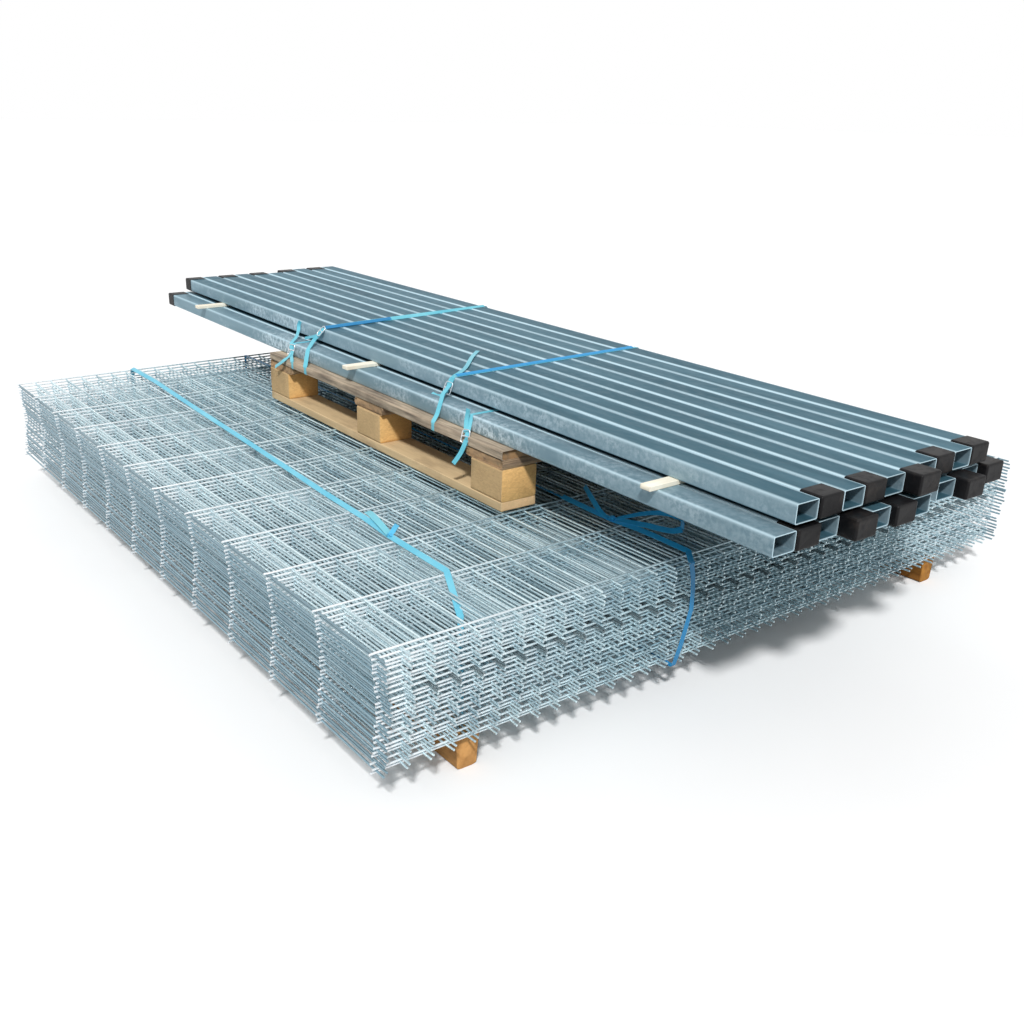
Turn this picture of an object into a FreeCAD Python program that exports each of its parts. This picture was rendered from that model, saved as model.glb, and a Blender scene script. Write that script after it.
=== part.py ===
import FreeCAD, Part
import Sketcher
import os
from math import cos, radians, sin, tan

# A strapped pack of welded mesh fence panels, with its fence posts on a pallet on top.
# X runs along the line wires and the posts, Y across the pack, Z up.
# The origin is on the floor, under the middle of the pack. Sizes are in millimetres.

SIZES = {
    # Welded mesh panel: line wires along X, crosswires along Y, welded on one side.
    "wire": 4.6,
    "mesh_width": 50,
    "mesh_length": 200,
    "line_wires": 41,
    "crosswires": 12,
    "prong": 30,
    "wire_overhang": 3,
    # Stack of panels: four bundles, every other one turned over.
    "bundle_bottom": 3,
    "bundle_lower": 5,
    "bundle_upper": 8,
    "bundle_top": 10,
    "sway_across": 10,
    "sway_along": 3,
    # Timber bearers under the stack.
    "bearer_width": 56,
    "bearer_height": 78,
    "bearer_near_inset": 188,
    "bearer_far_inset": 216,
    "bearer_setback": 14,
    "bearer_rear_setback": 30,
    "bearer_wane": 14,
    # Pallet between the panels and the posts.
    "pallet_length": 1200,
    "pallet_width": 800,
    "board_thick": 22,
    "wide_board": 145,
    "narrow_board": 100,
    "block_height": 78,
    "block_length": 145,
    "pallet_setback": 413,
    "pallet_inset": 595,
    "pallet_skew": 0.9,
    # Posts: steel box sections, laid in two layers.
    "post_width": 60,
    "post_height": 40,
    "post_wall": 2,
    "post_corner": 4,
    "post_length": 2885,
    "post_overhang": 322,
    "lower_inset": 19,
    "lower_pitch": 63.5,
    "lower_skew": 1.06,
    "upper_inset": 71,
    "upper_pitch": 65.1,
    "upper_skew": 1.45,
    # Post caps.
    "cap_wall": 1.6,
    "cap_skirt": 60,
    "cap_crown": 9,
    "cap_round": 5,
    # Laths that keep the two layers apart.
    "lath_thick": 10,
    "lath_width": 28,
    "lath_length": 790,
    # Plastic strapping and its wire buckles.
    "band_width": 13,
    "band_thick": 0.8,
    "buckle_length": 34,
    "buckle_width": 22,
    "buckle_wire": 3,
}

# How far each post's right end stands past the common overhang, nearest post first.
LOWER_SLIPS = (0, 0, -4, 30, 18, 28, 21, -40, -4, 20, -30, -13)
UPPER_SLIPS = (0, 0, 3, 0, 0, 30, -16, -20, -18, -22)

# Laths, as distance behind the front crosswire and from the pallet's near edge.
LATHS = ((2211, 35), (1142, 14), (-25, 3))

doc = FreeCAD.newDocument("fence_panel_pack")
sheet = doc.addObject("Spreadsheet::Sheet", "sizes")


def add_cell(row, alias, value):
    sheet.set(f"A{row}", alias)
    sheet.set(f"B{row}", str(value))
    sheet.setAlias(f"B{row}", alias)


for row, (alias, value) in enumerate(SIZES.items(), start=1):
    add_cell(row, alias, value)
for number, slip in enumerate(LOWER_SLIPS + UPPER_SLIPS, start=1):
    add_cell(len(SIZES) + number, f"post_slip_{number}", slip)
doc.recompute()


def size(alias):
    return float(sheet.get(alias))


sub_parts = []


def keep(piece, label):
    piece.Label = label
    sub_parts.append(piece)
    return piece


def bind(piece, settings):
    for path, expression in settings.items():
        piece.setExpression(path, str(expression))


# Places worked out from the driving sizes.

panel_thick = 2 * size("wire")
bundles = (
    (int(size("bundle_bottom")), True),
    (int(size("bundle_lower")), False),
    (int(size("bundle_upper")), True),
    (int(size("bundle_top")), False),
)
panel_turned = [turned for count, turned in bundles for _ in range(count)]
panel_count = len(panel_turned)
stack_bottom = size("bearer_height")
stack_top = stack_bottom + panel_count * panel_thick
mesh_half = size("mesh_width") * (size("line_wires") - 1) / 2
mesh_run = size("mesh_length") * (size("crosswires") - 1)
pallet_top = stack_top + 3 * size("board_thick") + size("block_height")
layer_top = pallet_top + size("post_height")
upper_bottom = layer_top + size("lath_thick")


# A stack bulges across its width with height, and no two panels lie quite alike.
SWAY_TURN = 1.15
JITTER_SHARE = 0.15
JITTER_STEP = 2.4
DRIFT_STEP = 1.7


def panel_shift(number):
    depth = 1 - (number + 0.5) / panel_count
    bulge = sin(radians(180 * SWAY_TURN * depth))
    jitter = JITTER_SHARE * sin(JITTER_STEP * number)
    across = size("sway_across") * (bulge + jitter)
    along = size("sway_along") * sin(DRIFT_STEP * number)
    return along, across


shifts = [panel_shift(number) for number in range(panel_count)]
bulges = [across for along, across in shifts]
mesh_middle = -(max(bulges) + min(bulges)) / 2
mesh_near = mesh_middle - mesh_half


def post_ends(layer_slips, skew):
    """X of the two farthest points of a layer, caps included, from the front crosswire."""
    lean = radians(skew)
    right = max(
        slip + (size("cap_crown") if index % 2 else 0) for index, slip in enumerate(layer_slips)
    )
    left = max(
        -slip + (0 if index % 2 else size("cap_crown")) for index, slip in enumerate(layer_slips)
    )
    overhang = size("post_overhang")
    reach_right = overhang + right * cos(lean) + size("post_width") * sin(lean)
    reach_left = overhang - (size("post_length") + left) * cos(lean)
    return reach_right, reach_left


reaches = post_ends(LOWER_SLIPS, size("lower_skew")) + post_ends(UPPER_SLIPS, size("upper_skew"))
mesh_front = -(max(reaches) + min(reaches)) / 2


# PartDesign helpers.

def origin_feature(body, role):
    return next(feature for feature in body.Origin.OriginFeatures if feature.Role == role)


def new_body(name):
    body = doc.addObject("PartDesign::Body", name)
    doc.recompute()
    return body


def rectangle(body, name, plane, width, height, offset=("0", "0", "0")):
    """A sketched rectangle with its first corner on the offset plane's own origin."""
    sketch = body.newObject("Sketcher::SketchObject", name)
    sketch.AttachmentSupport = [(origin_feature(body, plane), "")]
    sketch.MapMode = "FlatFace"
    corners = [(0, 0), (10, 0), (10, 10), (0, 10)]
    for start, end in zip(corners, corners[1:] + corners[:1]):
        sketch.addGeometry(Part.LineSegment(FreeCAD.Vector(*start, 0), FreeCAD.Vector(*end, 0)))
    for line in range(4):
        sketch.addConstraint(Sketcher.Constraint("Coincident", line, 2, (line + 1) % 4, 1))
        sketch.addConstraint(Sketcher.Constraint("Vertical" if line % 2 else "Horizontal", line))
    sketch.addConstraint(Sketcher.Constraint("Coincident", 0, 1, -1, 1))
    across = sketch.addConstraint(Sketcher.Constraint("DistanceX", 0, 1, 0, 2, 10))
    along = sketch.addConstraint(Sketcher.Constraint("DistanceY", 1, 1, 1, 2, 10))
    bind(sketch, {f"Constraints[{across}]": width, f"Constraints[{along}]": height})
    for axis, shift in zip("xyz", offset):
        sketch.setExpression(f"AttachmentOffset.Base.{axis}", shift)
    return sketch


def pad(body, name, sketch, length, backwards=False):
    feature = body.newObject("PartDesign::Pad", name)
    feature.Profile = sketch
    feature.Reversed = backwards
    feature.setExpression("Length", length)
    return feature


def pocket(body, name, sketch, length, backwards=False):
    feature = body.newObject("PartDesign::Pocket", name)
    feature.Profile = sketch
    feature.Reversed = backwards
    feature.setExpression("Length", length)
    return feature


def pattern(body, name, feature, axis, count, run, backwards=False):
    copies = body.newObject("PartDesign::LinearPattern", name)
    copies.Originals = [feature]
    copies.Direction = (origin_feature(body, axis), [""])
    copies.Reversed = backwards
    bind(copies, {"Occurrences": count, "Length": run})
    body.Tip = copies
    return copies


def round_edges(body, name, feature, choose, radius):
    doc.recompute()
    edges = [
        f"Edge{index}" for index, edge in enumerate(feature.Shape.Edges, start=1) if choose(edge)
    ]
    fillet = body.newObject("PartDesign::Fillet", name)
    fillet.Base = (feature, edges)
    fillet.setExpression("Radius", radius)
    return fillet


def repeat_of(master, label):
    """One more placing of a master body, as a compound that holds the body's own shape."""
    piece = doc.addObject("Part::Compound", label)
    piece.Links = [master]
    return piece


def place(piece, x, y, z, turn=0.0, axis=(0, 0, 1)):
    rotation = FreeCAD.Rotation(FreeCAD.Vector(*axis), turn)
    piece.Placement = FreeCAD.Placement(FreeCAD.Vector(x, y, z), rotation)


def group(label, pieces):
    compound = doc.addObject("Part::Compound", label)
    compound.Links = pieces
    return keep(compound, label)


# Mesh panels, all alike: one is drawn, and each panel in the stack repeats it.

def draw_panel():
    body = new_body("mesh_panel")
    crosswire = rectangle(
        body, "crosswire_outline", "XY_Plane",
        "sizes.wire", "sizes.mesh_width * (sizes.line_wires - 1) + 2 * sizes.wire_overhang",
        ("-sizes.wire / 2", "-sizes.mesh_width * (sizes.line_wires - 1) / 2 - sizes.wire_overhang",
         "sizes.wire"),
    )
    first_cross = pad(body, "crosswire", crosswire, "sizes.wire")
    pattern(
        body, "crosswires", first_cross, "X_Axis", "sizes.crosswires",
        "sizes.mesh_length * (sizes.crosswires - 1)", backwards=True,
    )
    line = rectangle(
        body, "line_wire_outline", "XY_Plane",
        "sizes.mesh_length * (sizes.crosswires - 1) + sizes.wire_overhang + sizes.prong",
        "sizes.wire",
        ("-sizes.mesh_length * (sizes.crosswires - 1) - sizes.wire_overhang",
         "-sizes.mesh_width * (sizes.line_wires - 1) / 2 - sizes.wire / 2", "0"),
    )
    first_line = pad(body, "line_wire", line, "sizes.wire")
    pattern(
        body, "line_wires", first_line, "Y_Axis", "sizes.line_wires",
        "sizes.mesh_width * (sizes.line_wires - 1)",
    )
    return body


def place_panel(panel, number):
    along, across = shifts[number]
    bottom = stack_bottom + number * panel_thick
    if panel_turned[number]:
        place(panel, mesh_front + along, mesh_middle + across, bottom + panel_thick, 180, (1, 0, 0))
    else:
        place(panel, mesh_front + along, mesh_middle + across, bottom)


mesh_panel = draw_panel()
for number in range(panel_count):
    label = f"mesh_panel_{number + 1:02d}"
    panel = repeat_of(mesh_panel, label)
    place_panel(panel, number)
    keep(panel, label)


# Bearers: sawn timbers under the stack, their lower edges rounded off by wane.

def draw_bearer(label, near_edge):
    body = new_body(label)
    outline = rectangle(
        body, label + "_outline", "YZ_Plane", "sizes.bearer_width", "sizes.bearer_height",
    )
    length = (
        "sizes.mesh_length * (sizes.crosswires - 1)"
        " - sizes.bearer_setback - sizes.bearer_rear_setback"
    )
    timber = pad(body, label + "_timber", outline, length, backwards=True)
    round_edges(body, label + "_wane", timber, is_lower_long_edge, "sizes.bearer_wane")
    place(body, mesh_front - size("bearer_setback"), near_edge, 0)
    return keep(body, label)


def is_lower_long_edge(edge):
    box = edge.BoundBox
    return box.XLength > box.YLength + box.ZLength and box.ZMax < size("bearer_wane")


draw_bearer("bearer_near", mesh_near + size("bearer_near_inset"))
draw_bearer("bearer_far", mesh_near + 2 * mesh_half - size("bearer_far_inset") - size("bearer_width"))


# What lies on the panels is turned a little about its right near corner.

def turned_point(corner, skew, back, across):
    """A point by its distance back along the turned near side and its distance across."""
    lean = radians(skew)
    x = corner[0] - back * cos(lean) + across * sin(lean)
    y = corner[1] + back * sin(lean) + across * cos(lean)
    return x, y


def side_at(corner, skew, x, across=0.0):
    """Y, at a place along the pack, of a line that lies across from the turned near side."""
    lean = radians(skew)
    return corner[1] + (corner[0] - x) * tan(lean) + across / cos(lean)


# Pallet: runner boards, blocks, cross boards and deck boards, from the bottom up.

pallet_corner = (mesh_front - size("pallet_setback"), mesh_near + size("pallet_inset"))
BLOCK_PLACES = (0, 0.5, 1)
BLOCK_WIDTHS = ("narrow_board", "wide_board", "narrow_board")
DECK_WIDTHS = ("wide_board", "narrow_board", "wide_board", "narrow_board", "wide_board")


def board(name, lengths, corner, skew=0.0):
    """A box of the three bound lengths, set with its lowest corner at the given point."""
    piece = doc.addObject("Part::Box", name)
    bind(piece, dict(zip(("Length", "Width", "Height"), lengths)))
    place(piece, *corner, -skew)
    return piece


def pallet_board(name, lengths, back, across, bottom):
    """A board of the pallet, by how far its left end is back and its near side across."""
    x, y = turned_point(pallet_corner, size("pallet_skew"), back, across)
    return board(name, lengths, (x, y, bottom), size("pallet_skew"))


def spread(share, whole, part):
    return share * (whole - part)


block_bottom = stack_top + size("board_thick")
block_top = block_bottom + size("block_height")
deck_bottom = pallet_top - size("board_thick")
block_backs = [
    size("block_length") + spread(share, size("pallet_length"), size("block_length"))
    for share in BLOCK_PLACES
]

runners = []
blocks = []
for row, (share, width) in enumerate(zip(BLOCK_PLACES, BLOCK_WIDTHS), start=1):
    across = spread(share, size("pallet_width"), size(width))
    runners.append(pallet_board(
        f"runner_{row}", ("sizes.pallet_length", f"sizes.{width}", "sizes.board_thick"),
        size("pallet_length"), across, stack_top,
    ))
    for column, back in enumerate(block_backs, start=1):
        blocks.append(pallet_board(
            f"block_{row}_{column}", ("sizes.block_length", f"sizes.{width}", "sizes.block_height"),
            back, across, block_bottom,
        ))
group("pallet_runner_boards", runners)
group("pallet_blocks", blocks)

group("pallet_cross_boards", [
    pallet_board(
        f"cross_board_{column}", ("sizes.block_length", "sizes.pallet_width", "sizes.board_thick"),
        back, 0, block_top,
    )
    for column, back in enumerate(block_backs, start=1)
])

deck_gap = (size("pallet_width") - sum(size(width) for width in DECK_WIDTHS)) / (len(DECK_WIDTHS) - 1)
deck_boards = []
across = 0
for index, width in enumerate(DECK_WIDTHS, start=1):
    deck_boards.append(pallet_board(
        f"deck_board_{index}", ("sizes.pallet_length", f"sizes.{width}", "sizes.board_thick"),
        size("pallet_length"), across, deck_bottom,
    ))
    across += size(width) + deck_gap
group("pallet_deck_boards", deck_boards)


# Posts: box sections with rounded corners, every other one turned end for end.

def is_long_edge(edge):
    box = edge.BoundBox
    return box.XLength > box.YLength + box.ZLength


def draw_post():
    body = new_body("post")
    outline = rectangle(body, "post_outline", "YZ_Plane", "sizes.post_width", "sizes.post_height")
    bar = pad(body, "post_bar", outline, "sizes.post_length", backwards=True)
    rounded = round_edges(body, "post_corners", bar, is_long_edge, "sizes.post_corner")
    hollow = rectangle(
        body, "post_hollow_outline", "YZ_Plane",
        "sizes.post_width - 2 * sizes.post_wall", "sizes.post_height - 2 * sizes.post_wall",
        ("sizes.post_wall", "sizes.post_wall", "0"),
    )
    pocket(body, "post_hollow", hollow, "sizes.post_length")
    check_hollow(body, rounded)
    return body


def check_hollow(body, solid_feature):
    doc.recompute()
    if body.Shape.Volume >= solid_feature.Shape.Volume:
        raise ValueError(body.Name + ": the hollow cuts nothing")


def draw_cap():
    body = new_body("post_cap")
    outline = rectangle(
        body, "cap_outline", "YZ_Plane",
        "sizes.post_width + 2 * sizes.cap_wall", "sizes.post_height + 2 * sizes.cap_wall",
        ("-sizes.cap_wall", "-sizes.cap_wall", "-sizes.cap_skirt"),
    )
    block = pad(body, "cap_block", outline, "sizes.cap_skirt + sizes.cap_crown")
    rounded = round_edges(body, "cap_edges", block, is_outer_cap_edge, "sizes.cap_round")
    socket = rectangle(
        body, "cap_socket_outline", "YZ_Plane", "sizes.post_width", "sizes.post_height",
    )
    pocket(body, "cap_socket", socket, "sizes.cap_skirt")
    check_hollow(body, rounded)
    return body


def is_outer_cap_edge(edge):
    return edge.BoundBox.XMin > 0


post = draw_post()
cap = draw_cap()


class Layer:
    """One layer of posts: where its nearest post starts, and how far the layer is turned."""

    def __init__(self, name, slips, bottom):
        self.name = name
        self.slips = slips
        self.bottom = bottom
        self.top = bottom + size("post_height")
        self.skew = size(name + "_skew")
        self.pitch = size(name + "_pitch")
        near = pallet_corner[1] + size(name + "_inset")
        self.corner = (mesh_front + size("post_overhang"), near)

    def sides(self, x):
        """Y of the layer's near and far sides at a place along the pack."""
        run = (len(self.slips) - 1) * self.pitch
        near = side_at(self.corner, self.skew, x)
        return near, side_at(self.corner, self.skew, x, size("post_width")) + run

    def post_point(self, index, along, across):
        """A point by post number, distance from its right end and distance across it."""
        corner = (self.corner[0], self.corner[1] + index * self.pitch)
        return turned_point(corner, self.skew, -along, across)

    def build(self):
        posts = []
        caps = []
        for index, slip in enumerate(self.slips):
            piece = repeat_of(post, f"{self.name}_post_{index + 1}")
            place(piece, *self.post_point(index, slip, 0), self.bottom, -self.skew)
            posts.append(piece)
            piece = repeat_of(cap, f"{self.name}_cap_{index + 1}")
            if index % 2:
                place(piece, *self.post_point(index, slip, 0), self.bottom, -self.skew)
            else:
                end = self.post_point(index, slip - size("post_length"), size("post_width"))
                place(piece, *end, self.bottom, 180 - self.skew)
            caps.append(piece)
        group(self.name + "_posts", posts)
        group(self.name + "_post_caps", caps)


lower = Layer("lower", LOWER_SLIPS, pallet_top)
upper = Layer("upper", UPPER_SLIPS, upper_bottom)
lower.build()
upper.build()


# Laths between the layers.

laths = []
for index, (back, inset) in enumerate(LATHS, start=1):
    laths.append(board(
        f"lath_{index}", ("sizes.lath_width", "sizes.lath_length", "sizes.lath_thick"),
        (mesh_front - back - size("lath_width") / 2, pallet_corner[1] + inset, layer_top),
    ))
group("spacer_laths", laths)


# Strapping. A band round the posts is the hull of what it ties, one band thickness thick.

def hull(points):
    """The convex outline of points in a plane, counter-clockwise."""
    points = sorted(set(points))

    def turn(a, b, c):
        return (b[0] - a[0]) * (c[1] - a[1]) - (b[1] - a[1]) * (c[0] - a[0])

    def chain(run):
        side = []
        for point in run:
            while len(side) > 1 and turn(side[-2], side[-1], point) <= 0:
                side.pop()
            side.append(point)
        return side[:-1]

    return chain(points) + chain(points[::-1])


def feature(label, shape):
    piece = doc.addObject("Part::Feature", label)
    piece.Shape = shape
    return keep(piece, label)


def deck_sides(x):
    near = side_at(pallet_corner, size("pallet_skew"), x)
    return near, side_at(pallet_corner, size("pallet_skew"), x, size("pallet_width"))


def tied_outline(x, layers):
    """Corners, in Y and Z, of what a band that starts at x ties: the deck and layers of posts."""
    points = []
    for edge in (x, x + size("band_width")):
        points += [(y, z) for y in deck_sides(edge) for z in (deck_bottom, pallet_top)]
        for layer in layers:
            points += [(y, z) for y in layer.sides(edge) for z in (layer.bottom, layer.top)]
    return hull(points)


def band_round(x, outline):
    inner = Part.makePolygon([FreeCAD.Vector(x, y, z) for y, z in outline + outline[:1]])
    outer = inner.makeOffset2D(size("band_thick"), 2)
    ring = Part.Face(outer).cut(Part.Face(inner))
    return ring.extrude(FreeCAD.Vector(size("band_width"), 0, 0))


# Each band, as its distance behind the front crosswire, what it ties, and how far up its
# near side, from the deck's edge, its buckle sits.
POST_BANDS = (
    ("layer_band_rear", 1445, (lower,), 0.45),
    ("pack_band_rear", 1390, (lower, upper), 0.8),
    ("pack_band_middle", 735, (lower, upper), 0.5),
    ("layer_band_middle", 584, (lower,), 0.3),
)
band_outlines = []
for label, back, layers, rise in POST_BANDS:
    x = mesh_front - back - size("band_width") / 2
    outline = tied_outline(x, layers)
    feature(label, band_round(x, outline))
    band_outlines.append((outline, x + size("band_width") / 2, rise))


# Bands round the panel stack, as plan routes carried over its top and bottom.

def strip(route, bottom, thick):
    """A flat strip along a plan route of the band's width, with mitred corners."""
    half = size("band_width") / 2
    normals = []
    for start, end in zip(route, route[1:]):
        run = FreeCAD.Vector(end[0] - start[0], end[1] - start[1], 0).normalize()
        normals.append(FreeCAD.Vector(-run.y, run.x, 0))
    left = []
    right = []
    for index, point in enumerate(route):
        before = normals[max(index - 1, 0)]
        after = normals[min(index, len(normals) - 1)]
        side = before + after
        side = side * (half / side.dot(after))
        middle = FreeCAD.Vector(point[0], point[1], bottom)
        left.append(middle + side)
        right.append(middle - side)
    outline = left + right[::-1]
    face = Part.Face(Part.makePolygon(outline + outline[:1]))
    return face.extrude(FreeCAD.Vector(0, 0, thick))


def upright(x, y, bottom, top):
    """A standing strip one band thickness deep along X, from x backwards."""
    corner = FreeCAD.Vector(x - size("band_thick"), y - size("band_width") / 2, bottom)
    return Part.makeBox(size("band_thick"), size("band_width"), top - bottom, corner)


NEAR_BAND_REAR = 377
NEAR_BAND_KNEE = 299
NEAR_BAND_FRONT = 177.5
KNEE_LAP = 6
MIDDLE_BAND_REAR = 800
MIDDLE_BAND_FRONT = 770

band_thick = size("band_thick")
rear_face = mesh_front - mesh_run - size("wire_overhang") - size("sway_along")
prong_face = mesh_front + size("prong") + size("sway_along")
dive_face = mesh_front - size("wire") / 2 - size("sway_along")
knee = mesh_front - size("mesh_length")


def near_band():
    """Round the stack at the back, and down inside the first row of cells at the front."""
    rear = (rear_face - band_thick, mesh_near + NEAR_BAND_REAR)
    bend = (knee, mesh_near + NEAR_BAND_KNEE)
    front = (dive_face, mesh_near + NEAR_BAND_FRONT)
    lap = (knee + KNEE_LAP, bend[1])
    top_run = strip([rear, bend, front], stack_top, band_thick)
    low_run = strip([rear, bend, lap], stack_bottom - band_thick, band_thick)
    low_front = strip([bend, front], stack_bottom, band_thick)
    back = upright(rear_face, rear[1], stack_bottom - band_thick, stack_top + band_thick)
    dive = upright(dive_face, front[1], stack_bottom, stack_top + band_thick)
    return top_run.multiFuse([low_run, low_front, back, dive])


def middle_band():
    """Round the whole stack, over the tips of the prongs."""
    rear = (rear_face - band_thick, mesh_near + MIDDLE_BAND_REAR)
    front = (prong_face + band_thick, mesh_near + MIDDLE_BAND_FRONT)
    top_run = strip([rear, front], stack_top, band_thick)
    low_run = strip([rear, front], stack_bottom - band_thick, band_thick)
    back = upright(rear_face, rear[1], stack_bottom - band_thick, stack_top + band_thick)
    face = upright(front[0], front[1], stack_bottom - band_thick, stack_top + band_thick)
    return top_run.multiFuse([low_run, back, face])


feature("panel_band_near", near_band())
feature("panel_band_middle", middle_band())


# Wire buckles on the bands, each a small frame that lies on the sloping near side.

def buckle(outline, x, rise):
    """A frame on a band's near side, at a share of the way up from the deck's edge."""
    middle = sum(y for y, z in outline) / len(outline)
    near_side = sorted((point for point in outline if point[0] < middle), key=lambda point: point[1])
    low, high = near_side[-2:]
    slope = FreeCAD.Vector(0, high[0] - low[0], high[1] - low[1])
    out = FreeCAD.Vector(0, -slope.z, slope.y).normalize()
    wire = size("buckle_wire")
    outer = Part.makeBox(size("buckle_width"), size("buckle_length"), wire)
    inner = Part.makeBox(
        size("buckle_width") - 2 * wire, size("buckle_length") - 2 * wire, wire,
        FreeCAD.Vector(wire, wire, 0),
    )
    frame = outer.cut(inner)
    turn = FreeCAD.Rotation(FreeCAD.Vector(0, 1, 0), slope)
    seat = FreeCAD.Vector(x, low[0], low[1]) + slope * rise + out * band_thick
    centre = turn.multVec(FreeCAD.Vector(size("buckle_width") / 2, size("buckle_length") / 2, 0))
    frame.Placement = FreeCAD.Placement(seat - centre, turn)
    return frame


feature("band_buckles", Part.makeCompound([buckle(*settings) for settings in band_outlines]))


# Checks, then one file for each sub-part.

doc.recompute()
for item in doc.Objects:
    if "Invalid" in item.State or "Error" in item.State:
        raise ValueError(item.Label + " could not be built")
valid_solids = []
for piece in sub_parts:
    if piece.Shape.isNull() or not piece.Shape.Solids:
        raise ValueError(piece.Label + " has no shape")
    for solid in piece.Shape.Solids:
        if any(solid.isPartner(other) for other in valid_solids):
            continue
        if not solid.isValid():
            raise ValueError(piece.Label + " has no valid shape")
        valid_solids.append(solid)

os.makedirs("parts", exist_ok=True)
for piece in sub_parts:
    piece.Shape.exportStep(f"parts/{piece.Label}.step")
print(len(sub_parts), "sub-parts written")
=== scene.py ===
# %% [markdown]
# # A strapped pack of welded mesh fence panels and posts
#
# Twenty-six flat panels of welded wire mesh lie on two timber bearers. A pallet stands on
# them and carries two layers of steel fence posts, and blue plastic straps tie it all.
# The solids of the pack are loaded first as a fixed frame. Each piece made here takes the
# place of one or more of them, and stays where they are.

# %% Load the frame
import bpy
import numpy as np
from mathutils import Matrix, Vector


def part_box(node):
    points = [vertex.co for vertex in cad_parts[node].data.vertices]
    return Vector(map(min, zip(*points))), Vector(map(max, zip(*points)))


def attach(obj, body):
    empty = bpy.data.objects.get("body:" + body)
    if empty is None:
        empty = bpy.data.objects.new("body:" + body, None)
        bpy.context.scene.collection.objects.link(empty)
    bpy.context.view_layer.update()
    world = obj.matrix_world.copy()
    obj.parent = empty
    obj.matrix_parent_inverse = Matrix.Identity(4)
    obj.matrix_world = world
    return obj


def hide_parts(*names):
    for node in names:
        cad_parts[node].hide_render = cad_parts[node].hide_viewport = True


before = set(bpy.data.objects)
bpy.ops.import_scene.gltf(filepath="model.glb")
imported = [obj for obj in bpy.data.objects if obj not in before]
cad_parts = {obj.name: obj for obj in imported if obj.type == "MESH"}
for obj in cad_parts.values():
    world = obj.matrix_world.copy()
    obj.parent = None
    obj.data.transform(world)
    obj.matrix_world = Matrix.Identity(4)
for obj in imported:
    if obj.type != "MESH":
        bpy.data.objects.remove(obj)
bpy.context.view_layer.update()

# %% [markdown]
# ## One way to say where a thing is
#
# The pack was laid out from its mesh, so places are easiest to say from there: how far
# along the wires from the front crosswire, how far across from the near edge of the mesh,
# and how high above the stack, all in millimetres. `spot` turns that into metres. Most
# things on the stack lie turned by a degree or so, and `ways` gives their two directions.

# %% Places on the pack
MM = 0.001
BEARER_SETBACK = 14 * MM
BEARER_INSET = 188 * MM
bearer_low, bearer_high = (np.array(corner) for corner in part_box("bearer_near"))
stack_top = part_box("pallet_runner_boards")[0][2]
MESH_ORIGIN = np.array([bearer_high[0] + BEARER_SETBACK, bearer_low[1] - BEARER_INSET, stack_top])
UP = np.array([0.0, 0.0, 1.0])


def spot(points):
    """Millimetres along, across and above the stack, as metres in the pack's own frame."""
    return np.asarray(points, float) * MM + MESH_ORIGIN


def ways(skew):
    """Unit vectors along and across a thing that lies turned by `skew` degrees."""
    c, s = np.cos(np.radians(skew)), np.sin(np.radians(skew))
    return np.array([c, -s, 0]), np.array([s, c, 0])


chance = np.random.default_rng(26)
print("front corner of the mesh:", spot((0, 0, 0)).round(4))

# %% [markdown]
# ## Meshes from whole arrays
#
# Every piece is a set of points worked out with numpy, and polygons that index them.
# `surface` hands both to Blender in one go, which is far quicker than adding them one by
# one. The signed volume of the mesh tells if its faces point inwards: it is the sum of
# a . (b x c) / 6 over the triangles of each polygon, and below zero the corners are read
# backwards.

# %% Make a piece
def signed_volume(points, polygons):
    total = 0.0
    for block in polygons:
        for k in range(1, block.shape[1] - 1):
            a, b, c = points[block[:, 0]], points[block[:, k]], points[block[:, k + 1]]
            total += (a * np.cross(b, c)).sum() / 6
    return total


def placed(name, data):
    """An object with this data, in the scene and at the origin."""
    made = bpy.data.objects.new(name, data)
    bpy.context.scene.collection.objects.link(made)
    return made


def surface(name, points, polygons, values=None):
    """A mesh object from points and blocks of polygons, each block with one corner count."""
    if signed_volume(points - points.mean(axis=0), polygons) < 0:
        polygons = [block[:, ::-1] for block in polygons]
    corners = np.concatenate([block.ravel() for block in polygons])
    counts = np.concatenate([np.full(len(block), block.shape[1]) for block in polygons])
    mesh = bpy.data.meshes.new(name)
    mesh.vertices.add(len(points))
    mesh.vertices.foreach_set("co", points.astype(np.float32).ravel())
    mesh.loops.add(len(corners))
    mesh.loops.foreach_set("vertex_index", corners.astype(np.int32))
    mesh.polygons.add(len(counts))
    starts = np.concatenate(([0], np.cumsum(counts)[:-1]))
    mesh.polygons.foreach_set("loop_start", starts.astype(np.int32))
    mesh.update(calc_edges=True)
    mesh.validate()
    for label, numbers in (values or {}).items():
        layer = mesh.attributes.new(label, "FLOAT", "POINT")
        layer.data.foreach_set("value", np.asarray(numbers, np.float32).ravel())
    return placed(name, mesh)


def dress(piece, material, nodes, smooth):
    """Gives a piece its finish, hangs it on the root and hides the solids it stands for. Edges of
    over `smooth` degrees stay sharp.
    """
    piece.data.materials.append(material)
    piece.data.shade_smooth()
    piece.data.set_sharp_from_angle(angle=np.radians(smooth))
    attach(piece, "root")
    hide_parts(*nodes)


def join(parts):
    """Point arrays and polygon blocks of several parts, as one set."""
    points, polygons, start = [], {}, 0
    for part_points, part_polygons, *_ in parts:
        points.append(part_points)
        for block in part_polygons:
            polygons.setdefault(block.shape[1], []).append(block + start)
        start += len(part_points)
    return np.concatenate(points), [np.concatenate(blocks) for blocks in polygons.values()]


def gathered(parts, index):
    """One value of every part, end to end, in the order that `join` keeps."""
    return np.concatenate([part[index] for part in parts])


def joined(name, parts, label, material, node):
    """One piece from parts, each with a third item: the value `label` on its points."""
    piece = surface(name, *join(parts), {label: gathered(parts, 2)})
    dress(piece, material, [node], smooth=50)


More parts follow.
